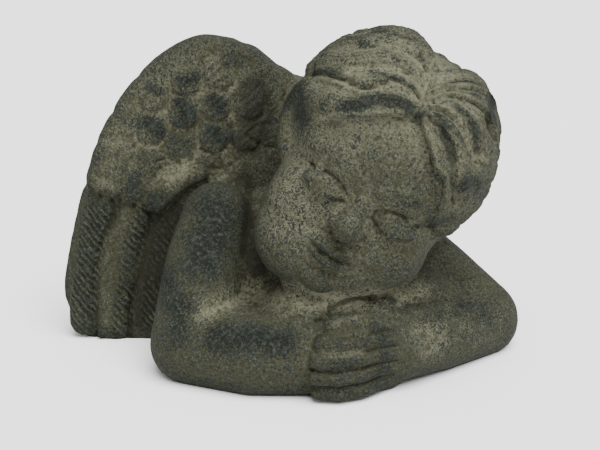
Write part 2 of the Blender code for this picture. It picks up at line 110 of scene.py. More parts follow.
# Stone: its wash, the dark stone below it, the colour of the dirt in its fine pits and of the shade painted
# in its hollows, and its pale specks and crests.
WASH_DARK = (0.032, 0.033, 0.019)
WASH_PALE = (0.135, 0.135, 0.089)
SLATE_DARK = (0.0045, 0.0066, 0.005)
SLATE_PALE = (0.0225, 0.0275, 0.0225)
PIT_DIRT_AND_SHADE = (0.007, 0.007, 0.004)
SPECK = (0.15, 0.15, 0.11)
CREST = (0.1, 0.1, 0.072)

# Rubbed stone: how far it is rubbed and how pale it is where nothing else says so, and how much more it is
# rubbed where the broad forms and the fine carving stand proud, each within these limits.
RUBBED_AT_REST = 0.38
PALE_AT_REST = 0.2
BROAD_RUB = 1.1
BROAD_LIMITS = (-0.2, 0.25)
FINE_RUB = 2.0
FINE_LIMITS = (-0.06, 0.05)

# The stone's surface: its roughness and shine, and its fine relief's strength and height in metres.
STONE_ROUGHNESS = 0.85
STONE_SHINE = 0.15
RELIEF_STRENGTH = 0.6
RELIEF_HEIGHT = 0.0013

# Grain of the stone, from broad to fine: scale, detail and roughness.
GRAINS = {
    "cloud": (45.0, 4.0, 0.6),
    "patch": (150.0, 2.0, 0.5),
    "mottle": (300.0, 3.0, 0.6),
    "grit": (480.0, 3.0, 0.75),
    "pepper": (800.0, 2.0, 0.7),
    "dust": (1300.0, 2.0, 0.5),
}

# Camera, about the statue as it is laid up: side and height in degrees, distance and the height aimed at.
VIEW_SIDE = -24.0
VIEW_HEIGHT = 18.0
VIEW_AWAY = 85.0
VIEW_LOW = 11.5
LENS = 70.0
SENSOR = 36.0

# Floor and light, in metres: the lamp's distance, its side, height and width in degrees, what it is aimed
# at, and the room's own light.
FLOOR_SIZE = 16.0
FLOOR_COLOUR = (0.92, 0.92, 0.92)
FLOOR_ROUGHNESS = 0.95
LAMP_STRENGTH = 7.2
LAMP_AWAY = 1.5
LAMP_SIDE = 5.0
LAMP_HEIGHT = 64.0
LAMP_WIDTH = 50.0
LAMP_TARGET = (0.0, 0.0, 0.1)
ROOM_STRENGTH = 0.78


def pick(*objects):
    """Picks these objects alone, the first of them as the active one."""
    bpy.ops.object.select_all(action="DESELECT")
    for obj in objects:
        obj.select_set(True)
    bpy.context.view_layer.objects.active = objects[0]


def make_ball():
    """The ball of clay that every lump starts from."""
    bpy.ops.object.select_all(action="DESELECT")
    bpy.ops.mesh.primitive_ico_sphere_add(subdivisions=3, radius=1.0, location=(0, 0, 0))
    ball = bpy.context.object
    ball.name = "clay_ball"
    return ball


def make_roll():
    """The roll of clay, from -1 to 1, that joins two balls."""
    bpy.ops.object.select_all(action="DESELECT")
    bpy.ops.mesh.primitive_cylinder_add(vertices=20, radius=1.0, depth=2.0, location=(0, 0, 0))
    roll = bpy.context.object
    roll.name = "clay_roll"
    return roll


BALL = make_ball()
ROLL = make_roll()


def copy_of(lump, name):
    """A copy of a lump with its own mesh."""
    copy = lump.copy()
    copy.data = lump.data.copy()
    copy.name = name
    bpy.context.scene.collection.objects.link(copy)
    return copy


def add_ball(clay, centre, radii, turn=(0.0, 0.0, 0.0), within=Matrix.Identity(4)):
    """A ball or an egg, turned by degrees about X, Y and Z."""
    if isinstance(radii, (int, float)):
        radii = (radii, radii, radii)
    angles = Euler([math.radians(angle) for angle in turn])
    ball = copy_of(BALL, "clay")
    ball.data.transform(within @ Matrix.LocRotScale(Vector(centre), angles, Vector(radii)))
    clay.append(ball)


def add_limb(clay, joints, within=Matrix.Identity(4)):
    """A limb through joints, each (x, y, z, radius): balls with tapered rolls between them."""
    for x, y, z, radius in joints:
        add_ball(clay, (x, y, z), radius, within=within)
    for start, end in zip(joints, joints[1:]):
        a, b = Vector(start[:3]), Vector(end[:3])
        along = b - a
        roll = copy_of(ROLL, "clay")
        for vert in roll.data.vertices:
            radius = start[3] if vert.co.z < 0 else end[3]
            vert.co = (vert.co.x * radius, vert.co.y * radius, vert.co.z * along.length / 2)
        turn = along.to_track_quat("Z", "Y").to_matrix().to_4x4()
        roll.data.transform(within @ Matrix.Translation((a + b) / 2) @ turn)
        clay.append(roll)


def add_plate(clay, outline, front, back, within):
    """A plate of clay between two depths, with this outline of (across, up)."""
    bpy.ops.object.select_all(action="DESELECT")
    bpy.ops.mesh.primitive_circle_add(vertices=len(outline), radius=1.0, fill_type="NGON", location=(0, 0, 0))
    plate = bpy.context.object
    plate.name = "clay"
    for vert, (x, z) in zip(plate.data.vertices, outline):
        vert.co = (x, front, z)
    bpy.ops.object.mode_set(mode="EDIT")
    bpy.ops.mesh.select_all(action="SELECT")
    bpy.ops.mesh.extrude_region_move(TRANSFORM_OT_translate={"value": (0, back - front, 0)})
    bpy.ops.mesh.select_all(action="SELECT")
    bpy.ops.mesh.normals_make_consistent(inside=False)
    bpy.ops.object.mode_set(mode="OBJECT")
    plate.data.transform(within)
    clay.append(plate)


def smooth_path(points, count):
    """Points along a smooth curve through these points, each a tuple of any length."""
    last = len(points) - 1
    path = []
    for step in range(count + 1):
        place = step / count * last
        i = min(int(place), last - 1)
        t = place - i
        a, b, c, d = (np.array(points[max(0, min(last, i + k))], float) for k in (-1, 0, 1, 2))
        spot = 2 * b + (c - a) * t + (2 * a - 5 * b + 4 * c - d) * t**2 + (3 * b - a - 3 * c + d) * t**3
        path.append(tuple(float(value) for value in spot / 2))
    return path


def spread(line, count):
    """A line's points, spread along a smooth curve; a lone point stays as it is."""
    return smooth_path(line, count) if len(line) > 1 else line


def press_together(clay, name, grain, wear):
    """Joins the lumps to one skin and wears it smooth."""
    pick(*clay)
    bpy.ops.object.join()
    lump = bpy.context.object
    lump.name = name
    remesh = lump.modifiers.new("Press", "REMESH")
    remesh.mode = "VOXEL"
    remesh.voxel_size = grain
    bpy.ops.object.modifier_apply(modifier="Press")
    smooth = lump.modifiers.new("Wear", "SMOOTH")
    smooth.factor = RUB
    smooth.iterations = wear
    bpy.ops.object.modifier_apply(modifier="Wear")
    return lump


def coords_of(mesh):
    """The mesh's points, one row each."""
    points = np.empty(len(mesh.vertices) * 3)
    mesh.vertices.foreach_get("co", points)
    return points.reshape(-1, 3)


def normals_of(mesh):
    """The way the skin faces at each of the mesh's points."""
    normals = np.empty(len(mesh.vertices) * 3)
    mesh.vertex_normals.foreach_get("vector", normals)
    return normals.reshape(-1, 3)


def draw_on(statue, points, ways, away=4.0, deep=2.2):
    """Points moved on to the skin, each from a little away and not far in its own direction."""
    drawn = []
    for point, way in zip(points, ways):
        way = Vector(way).normalized()
        hit, place, _, _ = statue.ray_cast(Vector(point) - away * way, way, distance=away + deep)
        if hit:
            drawn.append(tuple(place))
    return drawn


def reach_of(points, line, width):
    """Which points lie by a line, and how strongly a stroke of this width touches each."""
    line = np.array(line)
    if len(line) == 1:
        line = np.vstack((line, line))
    reach = STROKE_REACH * width
    near = np.all((points > line.min(axis=0) - reach) & (points < line.max(axis=0) + reach), axis=1)
    near = np.nonzero(near)[0]
    away = np.full(len(near), np.inf)
    for a, b in zip(line, line[1:]):
        along = b - a
        share = np.clip((points[near] - a) @ along / max(along @ along, 1e-9), 0, 1)
        away = np.minimum(away, np.linalg.norm(points[near] - a - share[:, None] * along, axis=1))
    return near, np.exp(-((away / width) ** 2) * STROKE_FADE)


def carve(statue, strokes):
    """Presses strokes into the skin, each (line, width, depth); a depth below 0 raises a ridge."""
    mesh = statue.data
    points = coords_of(mesh)
    cut = np.zeros(len(points))
    raised = np.zeros(len(points))
    for line, width, depth in strokes:
        if not line:
            continue
        near, touch = reach_of(points, line, width)
        if depth > 0:
            cut[near] = np.maximum(cut[near], depth * touch)
        else:
            raised[near] = np.maximum(raised[near], -depth * touch)
    points += normals_of(mesh) * (raised - cut)[:, None]
    mesh.vertices.foreach_set("co", points.ravel())
    mesh.update()
    bpy.context.view_layer.update()


# Body and arms.


def add_body(clay):
    """Torso, neck and the mass between the arms."""
    add_ball(clay, (BODY_MIDDLE + 0.3, 5.4, 6.0), (7.6, 4.4, 7.8))
    add_ball(clay, (BODY_MIDDLE + 0.3, 3.6, 2.4), (9.8, 6.0, 4.6))
    add_ball(clay, (4.4, -0.7, 3.0), (8.8, 5.0, 5.7))
    add_limb(clay, [(2.6, 4.6, 9.0, 4.4), (4.6, 1.8, 12.4, 4.2)])


def add_arms(clay):
    """Both arms, folded in front with the right one under the left."""
    right_elbow = (-7.35, 2.95, 2.4, 3.4)
    left_elbow = (14.95, -1.4, 2.2, 3.1)
    add_limb(clay, [(-4.5, 5.3, 11.3, 2.6), (-5.7, 4.9, 8.0, 2.95), right_elbow])
    add_limb(clay, [right_elbow, (-3.8, -0.8, 2.3, 3.3), (0.2, -3.3, 2.4, 2.9)])
    add_limb(clay, [(9.0, 4.0, 8.6, 2.95), (12.4, 1.4, 5.3, 2.95), left_elbow])
    add_limb(clay, [left_elbow, (9.6, -3.2, 2.4, 2.9), (5.4, -4.4, 2.8, 2.8)])


# Each digit from the thumb down: reach of its tip, height, how far out it lies, and thickness.
DIGITS = [
    (0.1, 5.54, -5.15, 0.68),
    (-0.9, 4.37, -5.95, 0.76),
    (-1.3, 3.2, -6.3, 0.76),
    (-1.4, 2.03, -6.4, 0.76),
    (-1.1, 0.86, -6.3, 0.76),
]


def add_hand(clay):
    """The left hand, laid over the right forearm, with its thumb and fingers side by side."""
    add_ball(clay, (4.3, -4.8, 3.2), (3.1, 2.2, 3.7))
    add_ball(clay, (1.7, -4.7, 5.0), (1.9, 1.1, 0.9))
    for reach, height, out, thick in DIGITS:
        tip = (reach + 0.2, out + 0.75, height, thick * 0.9)
        joint = (reach + 1.4, out + 0.1, height, thick)
        knuckle = (reach + 3.1, out - 0.05, height, thick)
        sunk = 0.75 if height < 2.3 else 0.35
        add_limb(clay, [tip, joint, knuckle, (4.6, out + sunk, height * 0.95 + 0.1, thick)])


def front_line(statue, line, width, depth):
    """A stroke along a line of (x, z), each point seen from straight ahead."""
    points = [(x, -12.0, z) for x, z in spread(line, 16)]
    return draw_on(statue, points, [(0, 1, 0)] * len(points), 4.0, 22.0), width, depth


# Creases of the hand, the elbows and the arms, as seen from the front: line of (x, z), width and depth.
# The first runs over the hand, under the cheek.
ARM_CREASES = [
    (
        [(-0.6, 5.6), (0.8, 6.4), (2.2, 6.8), (3.6, 6.9), (4.8, 6.5), (6.0, 6.0), (8.0, 5.7), (10.6, 5.4)],
        0.26,
        0.32,
    ),
    ([(7.2, 6.0), (8.8, 6.4), (10.8, 6.0)], 0.16, 0.12),
    ([(-8.2, 5.3), (-6.6, 5.7), (-4.8, 5.9), (-3.0, 6.0), (-1.6, 6.8)], 0.45, 0.16),
    ([(-7.2, 5.2), (-5.2, 5.5), (-3.4, 5.5)], 0.14, 0.07),
    ([(-4.8, 13.2), (-3.4, 13.5), (-2.0, 13.6)], 0.2, 0.12),
    ([(-0.5, 5.6), (-1.5, 4.3), (-2.0, 2.7), (-1.8, 1.0)], 0.3, 0.14),
    ([(12.4, 3.0), (13.6, 3.6), (14.6, 4.6)], 0.2, 0.06),
]


def carve_arms(statue):
    """Creases between the fingers, at the elbows and along the arms."""
    strokes = []
    for upper, lower in zip(DIGITS, DIGITS[1:]):
        height = (upper[1] + lower[1]) / 2
        reach = max(upper[0], lower[0])
        line = [(reach - 0.5, height), (reach + 2.0, height), (4.4, height + 0.1)]
        strokes.append(front_line(statue, line, 0.17, 0.2))
    strokes += [front_line(statue, *crease) for crease in ARM_CREASES]
    carve(statue, strokes)


# Head, face and hair.


def head_frame():
    """The head's own frame: +X its left, -Y the way it faces, +Z its crown."""
    angles = Euler([math.radians(angle) for angle in HEAD_TURN])
    return Matrix.LocRotScale(Vector(HEAD_PLACE), angles, None)


HEAD = head_frame()


def on_scalp(bearing, height, lift=0.0):
    """A point on the scalp, by degrees round from the face and up from the middle."""
    bearing, height = math.radians(bearing), math.radians(height)
    reach = SCALP_RADIUS + lift
    return (
        SCALP_MIDDLE[0] + reach * math.sin(bearing) * math.cos(height),
        SCALP_MIDDLE[1] - reach * math.cos(bearing) * math.cos(height),
        SCALP_MIDDLE[2] + reach * math.sin(height),
    )


def add_head(clay):
    """Skull, face and fat cheeks, without the features."""
    add_ball(clay, SCALP_MIDDLE, SCALP_RADIUS, within=HEAD)
    x, y, z = SCALP_MIDDLE
    for side in (-1, 1):
        add_ball(clay, (x + 0.85 * side, y + 0.5, z + 0.1), SCALP_RADIUS + 0.05, within=HEAD)
    add_ball(clay, (0, -2.2, 0.7), (5.9, 4.7, 4.7), within=HEAD)
    add_ball(clay, (0, -1.4, -3.6), (6.4, 5.2, 5.6), within=HEAD)
    add_ball(clay, (0, -3.7, -6.2), (4.9, 3.2, 3.1), within=HEAD)
    for side in (-1, 1):
        add_ball(clay, (3.2 * side, -3.5, -4.1), 3.1, within=HEAD)
    add_ball(clay, (0.2, -0.4, 11.0), 3.8)
    add_ball(clay, (2.2, -1.6, 9.8), 3.4)


# Half of each feature, from the middle of the face out: (x, y, z, radius).
UPPER_LIP = [(0.1, -7.0, -4.85, 0.42), (0.8, -6.9, -4.85, 0.42), (1.6, -6.3, -5.15, 0.3)]
LOWER_LIP = [(0.1, -6.85, -5.75, 0.48), (0.7, -6.7, -5.7, 0.46), (1.3, -6.3, -5.45, 0.3)]
BROW = [(1.2, -6.2, 0.2, 0.5), (2.8, -5.8, 0.8, 0.55), (4.5, -4.6, 0.2, 0.45)]


def add_features(clay):
    """Brow, closed lids, button nose, lips and chin."""
    add_limb(clay, [(0, -6.1, -0.6, 0.8), (0, -6.5, -2.0, 0.8), (0, -7.1, -2.9, 0.95)], within=HEAD)
    add_ball(clay, (0, -6.1, -5.2), (2.3, 1.0, 1.5), within=HEAD)
    add_ball(clay, (0, -6.1, -7.5), (1.6, 1.1, 1.2), within=HEAD)
    for side in (-1, 1):
        add_ball(clay, (0.8 * side, -6.6, -3.1), (0.66, 0.7, 0.56), within=HEAD)
        add_ball(clay, (2.8 * side, -5.6, -1.4), (1.7, 1.05, 1.1), (0, 6 * side, 0), within=HEAD)
        for feature in (UPPER_LIP, LOWER_LIP, BROW):
            add_limb(clay, [(x * side, y, z, radius) for x, y, z, radius in feature], within=HEAD)


# The lock that runs round the crown, as (bearing, height) in degrees on the scalp.
CROWN_COURSE = [(-1, 62), (-23, 70), (-58, 70), (-70, 60), (-77, 50), (-84, 40), (-94, 28), (-96, 14)]

# Locks swept from the parting: course of (bearing, height), thickness at the root and in the middle, lift.
RIGHT_LOCKS = [
    ([(5, 41), (-5, 41), (-15, 38), (-23, 32), (-32, 24), (-47, 17), (-66, 10)], 0.5, 1.15, 0.0),
    ([(3, 48), (-10, 51), (-23, 48), (-33, 42), (-42, 34), (-52, 28), (-70, 22)], 0.45, 1.05, 0.1),
    ([(2, 55), (-13, 60), (-33, 59), (-46, 52), (-55, 42), (-64, 34), (-80, 24)], 0.45, 1.15, 0.25),
    (CROWN_COURSE, 0.45, 1.15, 0.35),
    ([(-2, 70), (-53, 79), (-124, 68), (-116, 57), (-106, 45), (-104, 32), (-106, 16)], 0.5, 1.2, 0.4),
]
LEFT_LOCKS = [
    ([(5, 68), (34, 74), (80, 73), (110, 63), (116, 50), (112, 36)], 0.4, 0.95, 0.25),
    ([(8, 60), (18, 63), (48, 67), (84, 62), (98, 50), (98, 38)], 0.4, 0.95, 0.25),
    ([(10, 53), (18, 57), (32, 60), (54, 59), (76, 52), (86, 42), (85, 30)], 0.4, 0.95, 0.15),
    ([(10, 48), (20, 51), (32, 51), (46, 46), (60, 39), (70, 28), (72, 16)], 0.4, 0.95, 0.1),
    ([(10, 43), (20, 42), (29, 39), (37, 33), (44, 25), (50, 14)], 0.4, 0.95, 0.1),
    ([(9, 39), (17, 34), (25, 27), (31, 19), (36, 10), (42, 0), (48, -12)], 0.4, 0.9, 0.0),
]
TEMPLE_LOCKS = [
    ([(-70, 14), (-82, 5), (-85, -8), (-80, -20), (-70, -28)], 0.9, 1.15, 0.15),
    ([(-84, 20), (-98, 8), (-102, -8), (-98, -24), (-92, -36)], 0.8, 1.15, 0.1),
]


def add_lock(clay, course, root, full, lift):
    """A lock of hair over the scalp, thin at its root and rounded at its end."""
    joints = []
    steps = 10
    for step, (bearing, height) in enumerate(smooth_path(course, steps)):
        share = min(1.0, 2.2 * step / steps)
        thick = root + (full - root) * share**0.8
        joints.append(on_scalp(bearing, height, lift * (0.3 + 0.7 * share)) + (thick,))
    add_limb(clay, joints, within=HEAD)


# Curls at the left temple, then those only drawn on the side of the head: (bearing, height).
CURLS = [(62, 30), (56, 12), (68, 0), (60, -12), (74, 14), (82, 2), (82, 24), (72, -24), (84, -20)]
SIDE_CURLS = [(96, 38), (98, 16), (97, -6), (99, -28), (76, -42), (112, -40)]


def back_curls():
    """Places of the rows of curls behind the head."""
    places = []
    for row in range(4):
        for place in range(7):
            places.append((112 + 22 * place + 11 * (row % 2), 48 - 24 * row, row))
    return places


def add_hair(clay):
    """Locks swept to both sides of the parting, curls at the left temple and rows of curls behind."""
    for locks in (RIGHT_LOCKS, LEFT_LOCKS, TEMPLE_LOCKS):
        for course, root, middle, lift in locks:
            add_lock(clay, course, root, middle, lift)
    for bearing, height in CURLS:
        course = [(bearing - 6, height + 7), (bearing + 6, height + 4), (bearing + 3, height - 7)]
        add_lock(clay, course, 0.9, 1.1, -0.05)
    for bearing, height, row in back_curls():
        course = [(bearing, height + 13), (bearing + 9, height + 4), (bearing + 2, height - 10)]
        add_lock(clay, course, 0.9, 1.1, -0.5 if row == 0 else -0.1)


def face_line(statue, line, width, depth):
    """A stroke along a line of (across, up) on the face, seen from straight ahead of it."""
    points = [HEAD @ Vector((x, -6.0, z)) for x, z in smooth_path(line, 14)]
    ahead = HEAD.to_3x3() @ Vector((0, 1, 0))
    return draw_on(statue, points, [ahead] * len(points), 4.0, 4.0), width, depth


def hair_line(statue, course, width, depth):
    """A stroke along a course of (bearing, height) over the hair."""
    middle = HEAD @ Vector(SCALP_MIDDLE)
    points = [HEAD @ Vector(on_scalp(*place)) for place in spread(course, 22)]
    return draw_on(statue, points, [middle - point for point in points]), width, depth


def beside(course, shift):
    """A course moved sideways over the scalp, by degrees."""
    path = smooth_path(course, 14)
    moved = []
    for place, (bearing, height) in enumerate(path):
        before, after = path[max(place - 1, 0)], path[min(place + 1, len(path) - 1)]
        narrow = max(0.3, math.cos(math.radians(height)))
        along = ((after[0] - before[0]) * narrow, after[1] - before[1])
        length = max(math.hypot(*along), 1e-6)
        moved.append((bearing - along[1] / length * shift / narrow, height + along[0] / length * shift))
    return moved


# Grooves between the locks: depth, then the course of (bearing, height).
PARTINGS = [
    (0.2, [(4, 36), (5, 46), (4, 55), (0, 66), (-6, 78)]),
    (0.2, [(2, 47), (-7, 49), (-20, 48), (-27, 41), (-32, 34), (-41, 30), (-49, 28), (-65, 21), (-86, 10)]),
    (0.08, [(3, 50), (-7, 53), (-24, 54), (-35, 50), (-44, 42), (-51, 36)]),
    (0.2, [(4, 55), (-2, 61), (-18, 66), (-39, 66), (-50, 58), (-61, 48), (-70, 37), (-76, 28), (-84, 20)]),
    (0.2, [(1, 63), (-21, 73), (-67, 75), (-100, 64), (-94, 53), (-88, 43), (-90, 30)]),
    (0.18, [(7, 62), (21, 67), (56, 70), (98, 62), (108, 48)]),
    (0.18, [(9, 55), (15, 58), (31, 62), (58, 63), (88, 57), (96, 42)]),
    (0.2, [(11, 50), (18, 55), (31, 57), (48, 56), (68, 50), (80, 36)]),
    (0.2, [(10, 46), (18, 47), (26, 46), (35, 41), (43, 33), (56, 24)]),
    (0.2, [(9, 42), (18, 38), (27, 34), (33, 29), (37, 22), (42, 12)]),
]

# The hairline over the forehead and down the left temple, as (bearing, height).
HAIRLINE = [
    [(-44, 4), (-34, 12), (-22, 21), (-10, 30), (0, 36), (4, 38)],
    [(5, 38), (11, 32), (18, 26), (25, 17), (33, 13), (38, 4), (40, -6)],
]


# Lines in the middle of the face, as (across, up) with width and depth: between the lips, the rims of the
# upper and the lower lip, the dips below the mouth and below the nose.
MOUTH_LINES = [
    ([(-1.5, -5.25), (-0.7, -5.35), (0, -5.22), (0.7, -5.35), (1.5, -5.25)], 0.2, 0.28),
    ([(-1.1, -4.9), (-0.4, -4.75), (0, -4.85), (0.4, -4.75), (1.1, -4.9)], 0.22, -0.12),
    ([(-0.9, -5.7), (0, -5.85), (0.9, -5.7)], 0.32, -0.16),
    ([(-0.8, -6.4), (0, -6.5), (0.8, -6.4)], 0.4, 0.12),
    ([(0, -3.9), (0, -4.5)], 0.3, 0.12),
]

# Lines on both sides of the face: the closed lid and its rim, the crease over it, the brow and the nostril.
SIDE_LINES = [
    ([(1.2, -1.6), (2.0, -2.1), (3.1, -2.2), (4.3, -1.6)], 0.18, 0.28),
    ([(2.0, -1.8), (3.1, -1.9), (4.3, -1.3)], 0.16, -0.1),
    ([(1.2, -1.0), (2.0, -0.5), (3.2, -0.4), (4.4, -1.0)], 0.2, 0.28),
    ([(1.0, 0.4), (2.2, 1.1), (3.6, 1.1), (4.8, 0.4)], 0.5, -0.14),
    ([(1.5, -3.0), (1.6, -3.5), (1.3, -3.9)], 0.22, 0.15),
]


def carve_head(statue):
    """Lids, brows, nose and mouth, and the grooves between the locks, each with a ridge beside it."""
    strokes = [face_line(statue, *stroke) for stroke in MOUTH_LINES]
    for side in (-1, 1):
        for line, width, depth in SIDE_LINES:
            strokes.append(face_line(statue, [(side * x, z) for x, z in line], width, depth))
    for depth, course in PARTINGS:
        strokes.append(hair_line(statue, course, 0.17, depth))
        strokes.append(hair_line(statue, beside(course, 2.4), 0.14, -0.5 * depth))
    for line, depth in zip(HAIRLINE, (0.12, 0.2)):
        strokes.append(hair_line(statue, line, 0.2, depth))
        strokes.append(hair_line(statue, beside(line, 2.6), 0.22, -0.8 * depth))
    carve(statue, strokes)


# Fine strands beside the middle of a lock, in degrees, and the comma-shaped rim of a curl.
STRANDS = (-5.2, -3.1, -1.0, 1.2, 3.2, 5.4)
CURL_RIM = [(-9, 7), (-9, -4), (-3, -11), (5, -12), (10, -7), (7, -1), (2, -2)]


def carve_strands(statue):
    """Fine strands along every lock and curl, and the rims of the curls."""
    strokes = []
    for locks in (RIGHT_LOCKS, LEFT_LOCKS, TEMPLE_LOCKS):
        for course, _, _, _ in locks:
            for shift in STRANDS:
                strokes.append(hair_line(statue, beside(course, shift), 0.1, 0.065))
    behind = [(bearing, height) for bearing, height, _ in back_curls()]
    for bearing, height in CURLS + SIDE_CURLS + behind:
        course = [(bearing - 6, height + 8), (bearing + 6, height + 4), (bearing + 4, height - 8)]
        for shift in (-3.0, 0.5, 3.5):
            strokes.append(hair_line(statue, beside(course, shift), 0.11, 0.07))
        wide = 1 / max(0.5, math.cos(math.radians(height)))
        course = [(bearing + wide * turn, height + rise) for turn, rise in CURL_RIM]
        strokes.append(hair_line(statue, course, 0.18, 0.1 if bearing < 90 else 0.17))
    carve(statue, strokes)


# Wings.


def wing_frame(side):
    """A wing's own frame: +X out from the root, -Y the way its face looks, +Z up."""
    sweep = math.radians(WING_SWEEP)
    across = Vector((side * math.cos(sweep), math.sin(sweep), 0.0))
    back = Vector((-side * math.sin(sweep), math.cos(sweep), 0.0))
    frame_of_wing = Matrix.Identity(4)
    frame_of_wing.col[0][:3] = across
    frame_of_wing.col[1][:3] = back
    frame_of_wing.col[2][:3] = (0.0, 0.0, 1.0 if side < 0 else LEFT_WING_RISE)
    frame_of_wing.translation = (BODY_MIDDLE + side * WING_ROOT[0], WING_ROOT[1], 0.0)
    return frame_of_wing


# A wing's outline from its root, as (across, up): top, outer side and inner side. The coverts' rim closes
# the thicker upper part.
WING_TOP = [
    (-2.4, 21.1),
    (-1.0, 21.9),
    (0.3, 22.7),
    (1.5, 23.65),
    (3.4, 24.25),
    (5.8, 24.4),
    (8.6, 22.9),
    (11.4, 20.0),
    (13.8, 15.8),
]
WING_SIDE = [(15.5, 10.6), (16.8, 5.4), (16.7, 2.6), (14.8, -0.4), (10.1, -0.4)]
WING_INSIDE = [(5.0, 0.0), (1.0, 4.0), (-1.2, 12.0)]
COVERT_RIM = [(14.1, 12.9), (13.0, 12.0), (11.4, 12.0), (8.7, 12.6), (5.2, 13.6), (-1.2, 13.0)]

# Flight feathers from the outermost in: course down the middle, depth of the face, width.
FLIGHT_FEATHERS = [
    ([(13.4, 11.6), (14.2, 8.6), (15.0, 5.4), (15.3, 1.4)], -0.45, 1.35),
    ([(10.6, 11.6), (11.7, 8.4), (12.4, 5.6), (13.0, 0.8)], -0.3, 1.5),
    ([(8.2, 11.6), (9.0, 8.4), (9.8, 5.6), (10.6, 0.8)], 0.1, 1.2),
]

# Quill of the second flight feather, a smooth raised strip beside the groove.
QUILL = [(11.2, 11.0), (12.0, 9.6), (12.9, 7.6), (13.45, 5.4), (13.85, 2.6), (13.9, 0.6)]


def add_wing_mass(clay, side):
    """One wing's plate, with the thicker part that carries the coverts."""
    wing = wing_frame(side)
    whole = WING_TOP + WING_SIDE + WING_INSIDE
    add_plate(clay, smooth_path(whole + whole[:1], 60)[:-1], *WING_DEPTHS, wing)
    upper = WING_TOP + COVERT_RIM
    add_plate(clay, smooth_path(upper + upper[:1], 60)[:-1], *COVERT_DEPTHS, wing)


def scale_places():
    """Middles of the scales on a wing's upper part, one below another."""
    places = []
    for row in range(4):
        for place in range(5):
            across = FIRST_SCALE[0] + SCALE_STEP * place + 0.25 * row
            up = FIRST_SCALE[1] - SCALE_DROP * row - 0.045 * (across - 2.5) ** 2
            if (row or place) and across < 9.5 + 0.9 * row and up > 15.4:
                places.append((across, up))
    return places


# Coverts below the scales, from the outermost in: course down the middle and width. The last is the broad
# one over the shoulder.
COVERTS = [
    ([(12.9, 15.6), (13.3, 14.2), (13.6, 12.9)], 0.8),
    ([(11.4, 15.6), (12.0, 14.0), (12.4, 12.7)], 0.9),
    ([(9.4, 15.4), (10.1, 13.8), (10.7, 12.5)], 1.05),
    ([(5.7, 14.7), (7.3, 13.5), (9.0, 11.9)], 1.2),
]


def add_feathers(clay, side):
    """One wing's feathers: scales above, long coverts below them, then the flight feathers."""
    wing = wing_frame(side)
    flat = wing @ Matrix.Diagonal((1.0, FLATNESS, 1.0, 1.0))
    for across, up in scale_places():
        add_ball(clay, (across, -0.98, up), SCALE_RADII, (-9, 0, 0), within=wing)
    for course, width in COVERTS:
        joints = [(x, -1.12 / FLATNESS, z, width) for x, z in smooth_path(course, 4)]
        add_limb(clay, joints, within=flat)
    for course, depth, width in FLIGHT_FEATHERS:
        for face in (depth, COVERT_DEPTHS[1]):
            joints = []
            for step, (x, z) in enumerate(smooth_path(course, 5)):
                joints.append((x, face / FLATNESS, z, width * (1 - 0.02 * step)))
            add_limb(clay, joints, within=flat)
    add_limb(clay, [(x, -0.75 / FLATNESS, z, 0.5) for x, z in smooth_path(QUILL, 6)], within=flat)
    for row in range(3):
        for place in range(4):
            across = 3.4 + 2.9 * place + 1.4 * (row % 2)
            up = 20.4 - 2.9 * row - 0.035 * (across - 6.5) ** 2
            if across < 9.6 + 0.9 * row and up > 14.4:
                add_ball(clay, (across, COVERT_DEPTHS[1], up), BACK_SCALE_RADII, (8, 0, 0), within=wing)


def wing_line(statue, side, line, width, depth, behind=False):
    """A stroke along a line of (across, up) on a wing's face, or on its back."""
    wing = wing_frame(side)
    way = wing.to_3x3() @ Vector((0, -1 if behind else 1, 0))
    points = [wing @ Vector((x, 2.0 if behind else -2.0, z)) for x, z in spread(line, 12)]
    return draw_on(statue, points, [way] * len(points), 0.8), width, depth


# Grooves between the flight feathers, from the covert rim down.
FEATHER_GROOVES = [
    [(12.0, 11.6), (12.6, 10.0), (13.4, 8.3), (14.0, 6.0), (14.4, 2.6), (14.4, 0.3)],
    [(9.2, 11.0), (10.1, 8.0), (10.7, 5.6), (11.5, 2.8), (11.7, 0.4)],
]

# The barbed part of each flight feather: course down its middle and reach to either side.
BARBED = [
    ([(13.5, 11.4), (14.2, 8.6), (15.0, 5.4), (15.3, 0.0)], 1.25),
    ([(10.1, 11.4), (10.9, 8.4), (11.6, 5.6), (12.4, 0.0)], 0.9),
    ([(8.2, 10.4), (8.8, 8.4), (9.6, 5.6), (10.4, 0.0)], 0.8),
]

# Dips worn into the rim of a wing: (across, up, width, depth).
RIM_NICKS = [
    (10.3, 21.4, 0.5, 0.08),
    (12.3, 18.6, 0.5, 0.1),
    (13.7, 16.2, 0.5, 0.08),
    (14.9, 12.8, 0.5, 0.14),
    (2.2, 23.9, 0.7, 0.12),
    (-0.2, 22.2, 0.5, 0.1),
]

# Rim of a scale, about its middle.
SCALE_RIM = [(-1.2, 0.3), (-1.15, -0.8), (-0.7, -1.35), (0.0, -1.5), (0.7, -1.35), (1.15, -0.8), (1.2, 0.3)]

# Grooves of the coverts and the shoulder, the first below the coverts' tips: line of (across, up), width
# and depth.
COVERT_GROOVES = [
    (
        [(14.2, 12.9), (13.4, 12.0), (12.9, 12.6), (12.3, 11.6), (11.5, 12.4), (10.8, 11.3), (10.0, 12.0)],
        0.24,
        0.25,
    ),
    ([(9.8, 12.4), (10.0, 11.2), (9.0, 10.6), (7.6, 11.8), (6.0, 13.1)], 0.28, 0.25),
    ([(8.9, 14.9), (8.0, 15.2), (6.8, 15.3), (5.9, 15.1), (5.6, 14.3)], 0.13, 0.16),
    ([(7.2, 15.4), (7.2, 14.9)], 0.1, 0.12),
    ([(5.7, 14.9)], 0.3, 0.25),
    ([(4.9, 14.6), (3.6, 14.4), (2.6, 15.2)], 0.2, 0.12),
]


